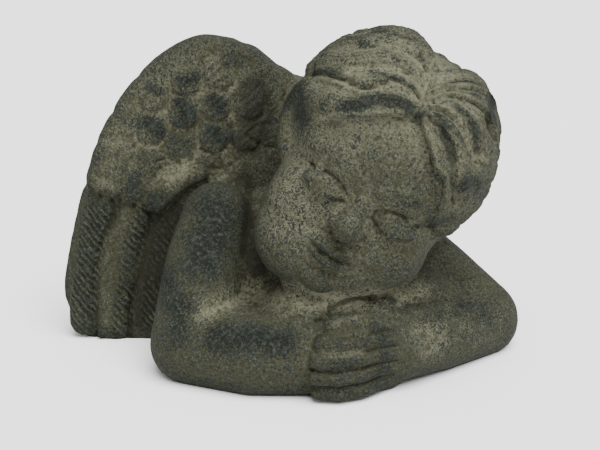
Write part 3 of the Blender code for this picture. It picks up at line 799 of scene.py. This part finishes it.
def carve_wing(statue, side):
    """Rims of the scales and coverts, the grooves between the flight feathers, and the worn rim."""
    strokes = []
    for across, up in scale_places():
        rim = [(across + x, up + z) for x, z in SCALE_RIM]
        strokes.append(wing_line(statue, side, rim, 0.22, 0.15))
    strokes += [wing_line(statue, side, *groove) for groove in COVERT_GROOVES]
    for line in FEATHER_GROOVES:
        for behind in (False, True):
            strokes.append(wing_line(statue, side, line, 0.28, 0.28, behind))
    wing = wing_frame(side)
    for across, up, width, depth in RIM_NICKS:
        line = [tuple(wing @ Vector((across, inward, up))) for inward in (-1.0, 1.0)]
        strokes.append((line, width, depth))
    carve(statue, strokes)


def carve_scales(statue, side):
    """Worn slanting lines on the scales and the coverts."""
    strokes = []
    for across, up in scale_places():
        for shift in (-0.55, 0.15, 0.8):
            line = [(across + 0.7, up - 0.7 + shift), (across - 0.75, up + 0.55 + shift)]
            strokes.append(wing_line(statue, side, line, 0.11, -0.07 if across < 5.5 else 0.05))
    for course, width in COVERTS[:3]:
        across, up = course[1]
        for shift in (-0.6, 0.0, 0.6, 1.2):
            line = [(across + 0.45 * width, up + shift + 0.4), (across - 0.45 * width, up + shift - 0.4)]
            strokes.append(wing_line(statue, side, line, 0.11, 0.07))
    carve(statue, strokes)


def mark_barbs(statue):
    """Keeps a slanting wave over the flight feathers, and how far each point lies on one, for their barbs."""
    points = coords_of(statue.data)
    wave = np.zeros(len(points))
    on_feather = np.zeros(len(points))
    for side in (-1, 1):
        wing = wing_frame(side).inverted()
        local = points @ np.array(wing.to_3x3()).T + np.array(wing.translation)
        across, inward, up = local.T
        for course, reach in BARBED:
            course = np.array(smooth_path(course, 12))
            middle = np.interp(up, course[::-1, 1], course[::-1, 0])
            off = np.abs(across - middle) / reach
            here = np.clip(1.4 - 1.4 * off, 0, 1) * np.clip((course[0, 1] - up) / 0.6, 0, 1)
            here *= (inward < 1.8) & (inward > -2.4) & (up > 0.2)
            better = here > on_feather
            wave[better] = ((up - BARB_SLANT * across) / BARB_STEP)[better]
            on_feather[better] = here[better]
    keep(statue, "barb", wave)
    keep(statue, "feather", np.minimum(1.0, 1.6 * on_feather))


# Finish.


def cut_base(statue):
    """Cuts the statue off flat where it stands, at a height of 0."""
    points = coords_of(statue.data)
    points[np.abs(points[:, 2]) < 0.03, 2] = 0.0
    statue.data.vertices.foreach_set("co", points.ravel())
    statue.data.update()
    pick(statue)
    bpy.ops.object.mode_set(mode="EDIT")
    bpy.ops.mesh.select_all(action="SELECT")
    bpy.ops.mesh.bisect(plane_co=(0, 0, 0), plane_no=(0, 0, 1), use_fill=True, clear_inner=True)
    bpy.ops.mesh.select_all(action="SELECT")
    bpy.ops.mesh.quads_convert_to_tris(quad_method="BEAUTY", ngon_method="BEAUTY")
    bpy.ops.object.mode_set(mode="OBJECT")


def thin_out(statue):
    """Brings the skin down to the facets that the piece may have, and keeps its carved front the finest."""
    points, normals = coords_of(statue.data), normals_of(statue.data)
    spare = np.clip(0.75 - 0.9 * (normals @ np.array(CARVED_FRONT)), 0.05, 1.0)
    spare[points[:, 2] < 1.0] = 1.0
    group = statue.vertex_groups.new(name="spare")
    for level in range(1, FACET_LEVELS + 1):
        chosen = np.nonzero(np.round(spare * FACET_LEVELS) == level)[0]
        group.add(chosen.tolist(), level / FACET_LEVELS, "REPLACE")
    pick(statue)
    triangles = sum(len(face.vertices) - 2 for face in statue.data.polygons)
    thin = statue.modifiers.new("Facets", "DECIMATE")
    thin.ratio = min(1.0, FACETS / triangles)
    thin.vertex_group = "spare"
    thin.vertex_group_factor = 6.0
    bpy.ops.object.modifier_apply(modifier="Facets")
    statue.vertex_groups.clear()


def roughen(statue):
    """Leaves the skin slightly uneven, as worn stone is, with a few small pits."""
    points = coords_of(statue.data)
    normals = normals_of(statue.data)
    lift = np.zeros(len(points))
    for size, height in UNEVEN:
        lift += height * np.array([noise.noise(Vector(point) / size) for point in points])
    lift[points[:, 2] < 0.1] = 0.0
    points += normals * lift[:, None]
    statue.data.vertices.foreach_set("co", points.ravel())
    statue.data.update()
    chance = np.random.default_rng(PIT_SEED)
    pits = []
    for number in chance.choice(len(points), PITS, replace=False):
        if points[number, 2] > 0.4:
            pits.append(([tuple(points[number])], chance.uniform(*PIT_WIDTHS), chance.uniform(*PIT_DEPTHS)))
    carve(statue, pits)


def keep(statue, name, values):
    """Keeps one value at every point of the skin, for the stone's look."""
    kept = statue.data.attributes.new(name, "FLOAT", "POINT")
    kept.data.foreach_set("value", values)


def proud_of(statue, wear):
    """How far each point stands proud of the skin once it is worn smooth."""
    worn = copy_of(statue, "worn")
    pick(worn)
    smooth = worn.modifiers.new("Wear", "SMOOTH")
    smooth.factor = RUB
    smooth.iterations = wear
    bpy.ops.object.modifier_apply(modifier="Wear")
    proud = np.einsum("ij,ij->i", coords_of(statue.data) - coords_of(worn.data), normals_of(worn.data))
    bpy.data.objects.remove(worn)
    return proud


# Wear on the scales, as strokes of (across, up) with width and strength.
SCALE_WEAR = [
    ([(5.6, 21.5), (6.8, 21.2)], 0.6, 0.55),
    ([(8.4, 20.4), (9.2, 20.6)], 0.5, 0.35),
    ([(6.9, 19.5), (6.4, 18.6)], 0.95, 0.6),
    ([(4.4, 19.9), (3.9, 19.2)], 0.7, 0.6),
    ([(9.5, 18.1), (8.7, 17.5)], 0.8, 0.6),
    ([(4.5, 17.4), (3.3, 16.7)], 0.75, 0.65),
    ([(7.4, 16.8), (6.6, 16.3)], 0.9, 0.25),
    ([(11.2, 18.4)], 0.9, 0.15),
    ([(3.4, 22.6), (2.4, 22.8)], 0.7, 0.35),
    ([(9.8, 15.4)], 0.8, 0.2),
]

# Wear on the arms and the hand, seen from the front, as strokes of (x, z); a strength below 0 keeps the wash.
ARM_WEAR = [
    ([(-5.4, 12.4), (-5.9, 10.8), (-6.6, 9.2)], 2.0, 0.9),
    ([(-9.0, 7.6), (-9.2, 6.5), (-8.8, 5.6), (-9.2, 4.2)], 1.3, 0.7),
    ([(-6.9, 4.3), (-5.6, 4.5), (-4.4, 4.6), (-3.2, 4.4)], 1.25, 1.0),
    ([(10.6, 4.8), (11.8, 4.8)], 0.6, 0.35),
    ([(12.7, 4.6), (13.4, 4.0), (13.6, 3.4)], 0.8, 0.4),
    ([(-8.8, 4.9), (-6.4, 5.8), (-4.2, 6.0), (-2.2, 6.3), (-0.8, 6.4)], 0.9, -0.2),
    ([(-8.4, 1.6), (-5.4, 1.6), (-2.6, 1.4)], 1.0, -0.1),
    ([(3.3, 5.0), (3.6, 3.9), (3.5, 2.7), (3.0, 2.0)], 0.9, 0.5),
    ([(-0.4, 3.1), (0.8, 3.2)], 0.6, 0.3),
    ([(11.6, 4.7), (13.4, 4.2)], 0.9, 0.55),
    ([(8.0, 4.8), (9.4, 4.9)], 0.7, 0.35),
    ([(8.6, 3.8), (7.2, 3.3)], 1.0, -0.15),
    ([(11.6, 6.4), (12.8, 5.8)], 1.0, 0.3),
]

# Wear on the hair, the temples and the forehead, as strokes of (bearing, height).
HEAD_WEAR = [
    ([(-84, -3), (-76, -1), (-66, -1), (-58, -2)], 1.3, 0.7),
    ([(-97, -8), (-96, -18), (-92, -28)], 1.3, 0.25),
    ([(-32, 21), (-26, 28), (-20, 34), (-13, 38), (-4, 40), (4, 40)], 0.65, 0.65),
    ([(17, 43), (23, 38), (29, 33), (33, 27)], 0.55, 0.65),
    ([(30, 52), (40, 48), (49, 40), (54, 31)], 0.4, 0.55),
    ([(-84, 16), (-72, 18), (-62, 25), (-54, 30)], 0.5, 0.5),
    ([(-88, 32), (-80, 42), (-64, 50), (-46, 54), (-28, 57), (-12, 56)], 0.35, 0.2),
    ([(-40, 41), (-30, 45), (-20, 48), (-10, 48)], 0.35, 0.3),
    ([(-60, 62), (-30, 62), (-10, 66)], 1.6, -0.15),
    ([(26, 58), (35, 56), (43, 53), (54, 51)], 0.9, -0.25),
    ([(-100, 50), (-96, 62), (-60, 73), (-24, 68)], 0.35, 0.2),
    ([(26, 65), (48, 68), (76, 66)], 0.35, 0.45),
    ([(24, 60), (40, 61), (60, 59)], 0.35, 0.4),
    ([(94, 56), (84, 54), (76, 50)], 0.75, 0.9),
    ([(45, 13), (56, 15), (70, 11)], 0.8, 0.4),
    ([(45, -14), (51, -9)], 0.8, 0.5),
    ([(52, 0), (58, 3)], 0.7, -0.2),
    ([(34, 64), (46, 62)], 0.4, -0.4),
    ([(40, 27), (60, 30)], 1.0, -0.2),
    ([(-50, 33), (-42, 36)], 0.5, -0.5),
    ([(-8, 6), (4, 2)], 1.3, 0.15),
    ([(24, 8), (30, -4)], 1.4, 0.3),
    ([(-30, 2)], 1.6, 0.1),
    ([(-25, 8)], 1.6, -0.1),
]

# Wear on the coverts and the flight feathers, as strokes of (across, up).
WING_WEAR = [
    ([(8.8, 12.4), (9.3, 12.0)], 0.8, 0.5),
    ([(10.6, 13.8), (11.0, 13.0)], 0.8, 0.45),
    ([(6.6, 14.3), (8.0, 13.7)], 0.7, -0.5),
    ([(12.2, 12.9), (13.4, 13.2)], 0.6, -0.35),
    ([(4.8, 14.0), (3.2, 14.8)], 0.9, -0.4),
    ([(13.6, 10.8), (14.2, 8.8), (14.7, 6.8), (15.0, 4.6), (14.9, 1.8)], 1.3, 0.5),
    ([(11.2, 10.8), (12.5, 9.0), (13.2, 7.2), (13.5, 5.0), (13.5, 1.4)], 0.55, -0.3),
    ([(9.9, 10.6), (10.8, 8.4), (11.5, 6.0), (12.2, 3.0)], 0.75, 0.4),
    ([(2.0, 22.6), (1.6, 20.0), (1.2, 17.8)], 1.1, 0.05),
]


def rubbed_places(statue):
    """Where the wash is rubbed off to dark stone, or is still whole (below 0), and where the hairline's
    groove is painted darker as shade: line, width and strength.
    """
    marks = [front_line(statue, *stroke) for stroke in ARM_WEAR]
    marks += [hair_line(statue, *stroke) for stroke in HEAD_WEAR]
    for depth, course in PARTINGS:
        marks.append(hair_line(statue, beside(course, 2.2), 0.2, -2.0 * depth))
        marks.append(hair_line(statue, beside(course, -1.8), 0.25, 0.8 * depth))
    for line in HAIRLINE:
        # The hairline's groove is painted darker, as shade; the ridge beside it keeps the wash.
        marks.append(hair_line(statue, line, 0.3, 0.2))
        marks.append(hair_line(statue, beside(line, 2.6), 0.22, -0.4))
    for side in (-1, 1):
        for across, up in scale_places():
            rim = [(across - 1.2, up - 1.1), (across, up - 1.55), (across + 1.2, up - 1.1)]
            marks.append(wing_line(statue, side, rim, 0.35, -0.35))
        marks += [wing_line(statue, side, line, width, 1.3 * rub) for line, width, rub in SCALE_WEAR]
        marks += [wing_line(statue, side, *stroke) for stroke in WING_WEAR]
    return marks


def pale_places(statue):
    """Where the wash is palest, or duller (below 0), with painted light and shade among it: crown, face,
    elbow hollow, hand, forearms and wing.
    """
    middle = HEAD @ Vector(SCALP_MIDDLE)
    return [
        # The crown: a paler wash, partly painted light where the light from above falls most.
        ([tuple(middle + Vector((-1.0, -2.0, 3.0)))], 8.5, 0.75),
        ([tuple(HEAD @ Vector((-2.0, -4.0, -3.5)))], 5.0, 0.25),
        ([(-1.0, -2.6, 6.8), (1.3, -4.0, 6.8), (4.0, -5.1, 6.8), (5.7, -4.9, 6.4)], 0.8, 0.7),
        ([tuple(HEAD @ Vector((-4.8, -6.0, -5.0)))], 3.0, 0.3),
        ([tuple(HEAD @ Vector((0.0, -6.5, 2.0)))], 3.0, -0.25),
        wing_line(statue, -1, [(4.2, 15.9), (4.45, 15.9)], 0.1, 2.5),
        # Over the elbow hollow and over the hand under the chin: painted light in the shade there.
        front_line(statue, [(-7.2, 5.6), (-5.4, 5.9), (-3.0, 6.2), (-1.2, 6.8)], 1.3, 0.4),
        front_line(statue, [(-0.2, 7.0), (1.6, 7.3), (3.4, 7.4), (6.0, 6.6), (8.4, 6.4)], 1.0, 0.5),
        front_line(statue, [(7.4, 3.6), (10.0, 3.6), (14.0, 2.4)], 1.8, 0.12),
        front_line(statue, [(-0.8, 3.8), (1.6, 3.8)], 0.35, 0.3),
        front_line(statue, [(0.4, 5.7), (1.5, 6.0), (2.4, 5.9)], 0.4, 0.3),
        front_line(statue, [(6.6, 4.6), (8.4, 3.6), (7.0, 2.8)], 1.2, 0.25),
        wing_line(statue, -1, [(4.0, 21.4), (9.0, 19.6), (11.6, 15.6)], 4.0, 0.28),
        wing_line(statue, -1, [(6.4, 14.4), (8.0, 13.7)], 1.2, 0.35),
        # Near the base: a duller wash, partly painted shade where less light falls.
        front_line(statue, [(-9.0, 1.4), (-2.0, 1.0), (6.0, 0.8)], 2.0, -0.12),
    ]


def painted_shade_places(statue):
    """Deep places painted darker as shade: between wing, arm, cheek, hand and hair."""
    by_cheek = [(-2.1, 6.0, 13.2), (-2.7, 3.9, 12.3), (-2.8, 3.3, 10.9), (-3.0, 3.0, 9.4), (-2.4, 2.4, 7.7)]
    behind_arm = [(-6.8, 9.2, 10.5), (-7.3, 9.4, 8.4), (-7.9, 9.7, 5.9), (-8.6, 10.1, 3.4)]
    over_hand = [(-0.2, 5.8), (1.7, 6.8), (3.3, 6.9), (4.5, 6.5), (5.6, 6.0), (7.8, 5.7)]
    return [
        (by_cheek, 1.1, 0.12),
        (behind_arm, 1.3, 0.16),
        wing_line(statue, -1, [(8.8, 9.8), (9.4, 7.5), (10.2, 5.0), (11.0, 1.2)], 0.9, 0.1),
        wing_line(statue, -1, [(1.7, 20.2), (1.2, 18.6), (1.6, 16.8)], 1.2, 0.12),
        front_line(statue, over_hand, 0.32, 0.06),
        hair_line(statue, [(-97, -10), (-97, -22), (-95, -34)], 1.4, 0.07),
    ]


def coarse_places():
    """Where the grain is coarse, on the cheek and the left forearm, and where it is fine, on the crown."""
    return [
        ([tuple(HEAD @ Vector((-4.4, -6.2, -4.9)))], 3.2, 1.1),
        ([(9.0, -5.0, 4.2), (16.0, -3.8, 3.6)], 2.6, 2.0),
        ([tuple(HEAD @ Vector((0.0, -3.0, 5.5)))], 5.5, -0.55),
    ]


def mark_stone(statue):
    """Keeps at every point how hollow it is, for the shade painted there, how far it is rubbed, how pale its
    wash is, with some painted light, and how coarse.
    """
    points = coords_of(statue.data)
    fine = proud_of(statue, FINE_FORM_WEAR)
    broad = proud_of(statue, BROAD_FORM_WEAR)
    rubbed = RUBBED_AT_REST + BROAD_RUB * np.clip(broad, *BROAD_LIMITS)
    rubbed += FINE_RUB * np.clip(fine, *FINE_LIMITS)
    pale = np.full(len(points), PALE_AT_REST)
    # Painted shade: the deeper a point lies, the darker it is painted; the marks below add more.
    hollow = -fine
    coarse = np.zeros(len(points))
    places = (
        (rubbed_places(statue), rubbed),
        (pale_places(statue), pale),
        (painted_shade_places(statue), hollow),
        (coarse_places(), coarse),
    )
    for marks, values in places:
        for line, width, strength in marks:
            if line:
                near, touch = reach_of(points, line, width)
                values[near] += strength * touch
    keep(statue, "hollow", hollow)
    keep(statue, "rubbed", rubbed)
    keep(statue, "pale", pale)
    keep(statue, "coarse", coarse)


def set_in_place(statue):
    """Brings the statue from centimetres to metres and to its place in the frame."""
    points = coords_of(statue.data)
    low, high = points.min(axis=0), points.max(axis=0)
    low_box, high_box = [np.array(corner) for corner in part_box("sleeping_angel")]
    share = (high_box - low_box)[0] / (high - low)[0]
    middle = (low_box + high_box) / 2 / share - (low + high) / 2
    shift = Vector((middle[0], middle[1], 0.0))
    statue.data.transform(Matrix.Scale(share, 4) @ Matrix.Translation(shift))
    return share, shift


def cast_stone():
    """Cast stone with a khaki wash, peppered dark, and rubbed back to slate where it stands proud."""
    stone = bpy.data.materials.new("cast_stone")
    stone.use_nodes = True
    nodes, links = stone.node_tree.nodes, stone.node_tree.links
    shader = nodes["Principled BSDF"]
    shader.inputs["Roughness"].default_value = STONE_ROUGHNESS
    shader.inputs["Specular IOR Level"].default_value = STONE_SHINE

    where = nodes.new("ShaderNodeTexCoord")

    def grain(label, scale, detail, rough):
        """A noise through the stone, about 0.5."""
        field = nodes.new("ShaderNodeTexNoise")
        field.label = label
        field.inputs["Scale"].default_value = scale
        field.inputs["Detail"].default_value = detail
        field.inputs["Roughness"].default_value = rough
        links.new(where.outputs["Object"], field.inputs["Vector"])
        return field.outputs["Fac"]

    def worked(kind, first, second):
        """Two values, or a value and a number, worked into one."""
        step = nodes.new("ShaderNodeMath")
        step.operation = kind
        for socket, value in zip(step.inputs, (first, second)):
            if isinstance(value, (int, float)):
                socket.default_value = value
            else:
                links.new(value, socket)
        return step.outputs["Value"]

    def ramp(value, low, high, bottom=0.0, top=1.0):
        """A value brought smoothly from one range to another."""
        step = nodes.new("ShaderNodeMapRange")
        step.interpolation_type = "SMOOTHSTEP"
        for name, number in (("From Min", low), ("From Max", high), ("To Min", bottom), ("To Max", top)):
            step.inputs[name].default_value = number
        links.new(value, step.inputs["Value"])
        return step.outputs["Result"]

    def blend(share, first, second):
        """The first colour, with this share of the second over it."""
        mix = nodes.new("ShaderNodeMix")
        mix.data_type = "RGBA"
        links.new(share, mix.inputs["Factor"])
        for socket, colour in ((mix.inputs[6], first), (mix.inputs[7], second)):
            if isinstance(colour, tuple):
                socket.default_value = colour + (1.0,)
            else:
                links.new(colour, socket)
        return mix.outputs[2]

    def kept(name):
        """A value kept at the skin's points."""
        attribute = nodes.new("ShaderNodeAttribute")
        attribute.attribute_name = name
        return attribute.outputs["Fac"]

    def about(value, strength):
        """A noise brought about 0, and strengthened."""
        return worked("MULTIPLY", worked("SUBTRACT", value, 0.5), strength)

    def total(first, *others):
        """Values added up in turn."""
        for value in others:
            first = worked("ADD", first, value)
        return first

    cloud, patch, mottle, grit, pepper, dust = (grain(label, *values) for label, values in GRAINS.items())

    # The barbs: fine slanting grooves across the flight feathers, where the wash is left.
    turn = total(kept("barb"), about(patch, 1.4))
    wave = worked("SINE", worked("MULTIPLY", turn, math.tau), 0.0)
    wave = worked("MULTIPLY", wave, kept("feather"))
    wave = worked("MULTIPLY", wave, ramp(cloud, 0.35, 0.5, 0.4, 1.0))

    # How much of the stone shows through the wash: rubbed places, broken up by the grain.
    shows = total(kept("rubbed"), about(cloud, 1.1), about(patch, 1.4), about(mottle, 2.2))
    shows = total(shows, about(pepper, 2.4))
    spots = worked("MULTIPLY", total(about(pepper, 2.6), about(mottle, 2.6)), kept("coarse"))
    shows = total(shows, spots, worked("MULTIPLY", wave, 0.6))

    tone = total(kept("pale"), about(cloud, 0.9), about(mottle, 1.6), about(patch, 1.2))
    wash = blend(ramp(tone, 0.0, 1.0), WASH_DARK, WASH_PALE)
    fade = total(about(dust, 0.8), about(mottle, 2.0), about(patch, 1.2))
    slate = blend(ramp(fade, -0.3, 0.6), SLATE_DARK, SLATE_PALE)
    colour = blend(ramp(shows, 0.1, 1.05), wash, slate)
    # Fine pits hold dirt, fine crests are worn pale, and the hollows are painted darker as shade.
    colour = blend(ramp(grit, 0.5, 0.72, 0.0, 0.9), colour, PIT_DIRT_AND_SHADE)
    colour = blend(ramp(grit, 0.48, 0.26, 0.0, 0.4), colour, CREST)
    colour = blend(ramp(dust, 0.7, 0.76, 0.0, 0.5), colour, SPECK)
    # Painted shade: the deeper the hollow, the more of the shade colour.
    colour = blend(ramp(kept("hollow"), 0.02, 0.1, 0.0, 0.6), colour, PIT_DIRT_AND_SHADE)
    links.new(colour, shader.inputs["Base Color"])

    bump = nodes.new("ShaderNodeBump")
    bump.inputs["Strength"].default_value = RELIEF_STRENGTH
    bump.inputs["Distance"].default_value = RELIEF_HEIGHT
    height = worked("SUBTRACT", total(mottle, wave), worked("MULTIPLY", grit, 1.5))
    links.new(height, bump.inputs["Height"])
    links.new(bump.outputs["Normal"], shader.inputs["Normal"])
    return stone


def make_statue():
    """Makes the whole statue, and gives the share and the shift that set it in its place."""
    clay = []
    add_body(clay)
    add_arms(clay)
    add_head(clay)
    for side in (-1, 1):
        add_wing_mass(clay, side)
    statue = press_together(clay, "statue", MASS_CLAY, MASS_WEAR)

    clay = [statue]
    add_hair(clay)
    statue = press_together(clay, "statue", HAIR_CLAY, HAIR_WEAR)

    clay = [statue]
    add_hand(clay)
    add_features(clay)
    for side in (-1, 1):
        add_feathers(clay, side)
    statue = press_together(clay, "statue", FINE_CLAY, FINE_WEAR)
    bpy.context.view_layer.update()
    carve_head(statue)
    carve_strands(statue)
    carve_arms(statue)
    for side in (-1, 1):
        carve_wing(statue, side)
        carve_scales(statue, side)
    thin_out(statue)
    roughen(statue)
    cut_base(statue)
    bpy.context.view_layer.update()
    mark_stone(statue)
    mark_barbs(statue)
    share, shift = set_in_place(statue)
    pick(statue)
    bpy.ops.object.shade_smooth()
    statue.data.materials.clear()
    statue.data.materials.append(cast_stone())
    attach(statue, "root")
    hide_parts("sleeping_angel")
    return share, shift


def plain(name, colour, roughness):
    """A material of one colour."""
    material = bpy.data.materials.new(name)
    material.use_nodes = True
    shader = material.node_tree.nodes["Principled BSDF"]
    shader.inputs["Base Color"].default_value = colour + (1.0,)
    shader.inputs["Roughness"].default_value = roughness
    return material


def make_floor():
    """A wide pale floor."""
    bpy.ops.object.select_all(action="DESELECT")
    bpy.ops.mesh.primitive_plane_add(size=FLOOR_SIZE, location=(0, 0, 0))
    floor = bpy.context.object
    floor.name = "floor"
    floor.data.materials.append(plain("pale_floor", FLOOR_COLOUR, FLOOR_ROUGHNESS))


def aim(obj, away, side, height, target):
    """Sets an object at this distance, side and height in degrees from a target, facing it."""
    side, height = math.radians(side), math.radians(height)
    back = Vector((math.sin(side) * math.cos(height), -math.cos(side) * math.cos(height), math.sin(height)))
    obj.location = Vector(target) + back * away
    obj.rotation_mode = "QUATERNION"
    obj.rotation_quaternion = (-back).to_track_quat("-Z", "Y")


def make_light():
    """Plain soft studio light: a very wide light overhead, a little to the front, and a pale room."""
    bpy.ops.object.light_add(type="SUN", location=(0, 0, 0))
    lamp = bpy.context.object
    lamp.name = "overhead"
    lamp.data.energy = LAMP_STRENGTH
    lamp.data.angle = math.radians(LAMP_WIDTH)
    aim(lamp, LAMP_AWAY, LAMP_SIDE, LAMP_HEIGHT, LAMP_TARGET)
    world = bpy.data.worlds.new("room")
    world.use_nodes = True
    sky = world.node_tree.nodes["Background"]
    sky.inputs["Color"].default_value = (1.0, 1.0, 1.0, 1.0)
    sky.inputs["Strength"].default_value = ROOM_STRENGTH
    bpy.context.scene.world = world


def make_camera(share, shift):
    """The camera, at the photograph's side and height."""
    bpy.ops.object.camera_add(location=(0, 0, 0))
    camera = bpy.context.object
    camera.name = "camera"
    camera.data.lens = LENS
    camera.data.sensor_width = SENSOR
    target = (Vector((0, 0, VIEW_LOW)) + shift) * share
    aim(camera, VIEW_AWAY * share, VIEW_SIDE, VIEW_HEIGHT, target)
    bpy.context.scene.camera = camera


share, shift = make_statue()
for lump in (BALL, ROLL):
    bpy.data.objects.remove(lump)
make_floor()
make_light()
make_camera(share, shift)
